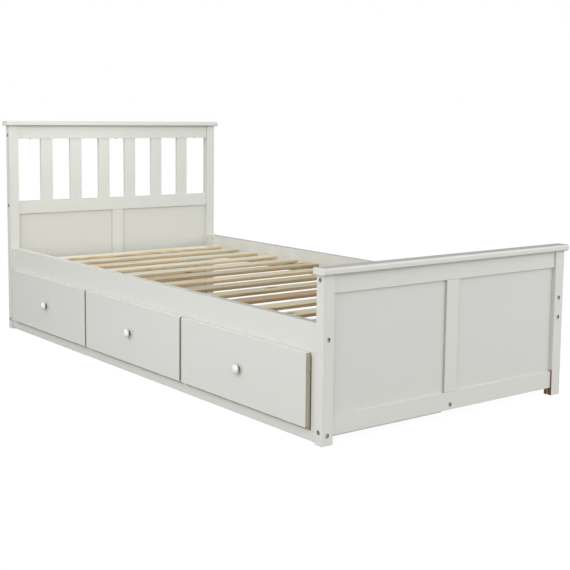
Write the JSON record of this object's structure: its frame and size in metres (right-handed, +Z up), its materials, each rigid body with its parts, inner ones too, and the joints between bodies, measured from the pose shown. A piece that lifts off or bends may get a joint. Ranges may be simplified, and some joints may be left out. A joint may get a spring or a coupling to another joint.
{
  "type": "captain's bed frame",
  "caption": "Single bed frame with a slatted headboard, a panelled footboard, a slatted base and a row of pull-out drawers under one side.",
  "frame": {"origin": "bottom centre of the bed's bounding box, on the floor", "axes": "+X across the bed from the drawer side to the plain side, +Y along the bed from the footboard to the headboard, +Z up"},
  "size_m": [1.0138, 1.9968, 0.828],
  "materials": {
    "paint": "white satin paint on wood, faintly warm, with soft reflections",
    "panel_paint": "white semi-gloss paint on thin board",
    "front_paint": "white semi-gloss paint on a smooth board face, with unpainted board edges",
    "pine": "unfinished knotty pine",
    "raw_board": "unfinished board, matt",
    "hardboard": "white-faced hardboard, matt",
    "bolt_steel": "zinc-plated steel, slightly worn"
  },
  "bodies": {
    "frame": {"foot_post_drawer_side": "paint", "foot_post_plain_side": "paint", "foot_panel_drawer_side": "panel_paint", "foot_panel_plain_side": "panel_paint", "foot_centre_stile": "paint", "foot_top_rail": "paint", "foot_bottom_rail": "paint", "foot_cap": "paint", "head_post_drawer_side": "paint", "head_post_plain_side": "paint", "head_panel_drawer_side": "panel_paint", "head_panel_plain_side": "panel_paint", "head_centre_stile": "paint", "head_top_rail": "paint", "head_mid_rail": "paint", "head_bottom_rail": "paint", "head_cap": "paint", "head_slat_1": "paint", "head_slat_2": "paint", "head_slat_3": "paint", "head_slat_4": "paint", "head_slat_5": "paint", "head_slat_6": "paint", "side_rail_drawer_side": "paint", "slat_ledger_drawer_side": "pine", "side_rail_plain_side": "paint", "slat_ledger_plain_side": "pine", "base_slat_01": "pine", "base_slat_02": "pine", "base_slat_03": "pine", "base_slat_04": "pine", "base_slat_05": "pine", "base_slat_06": "pine", "base_slat_07": "pine", "base_slat_08": "pine", "base_slat_09": "pine", "base_slat_10": "pine", "base_slat_11": "pine", "base_slat_12": "pine", "base_slat_13": "pine", "base_slat_14": "pine", "base_rail": "paint", "centre_beam": "pine", "centre_beam_foot": "pine", "drawer_guide_foot": "paint", "drawer_divider_1": "paint", "drawer_divider_2": "paint", "drawer_guide_head": "paint"},
    "drawer_1": {"drawer_1_box": "raw_board", "drawer_1_bottom": "hardboard", "drawer_1_front": "front_paint", "drawer_1_knob": "paint"},
    "drawer_2": {"drawer_2_box": "raw_board", "drawer_2_bottom": "hardboard", "drawer_2_front": "front_paint", "drawer_2_knob": "paint"},
    "drawer_3": {"drawer_3_box": "raw_board", "drawer_3_bottom": "hardboard", "drawer_3_front": "front_paint", "drawer_3_knob": "paint"}
  },
  "joints": [
    {"name": "drawer_1_slide", "type": "slide", "parent": "frame", "child": "drawer_1", "axis": [-1, 0, 0], "range_m": [0, 0.36]},
    {"name": "drawer_2_slide", "type": "slide", "parent": "frame", "child": "drawer_2", "axis": [-1, 0, 0], "range_m": [0, 0.36]},
    {"name": "drawer_3_slide", "type": "slide", "parent": "frame", "child": "drawer_3", "axis": [-1, 0, 0], "range_m": [0, 0.36]}
  ]
}
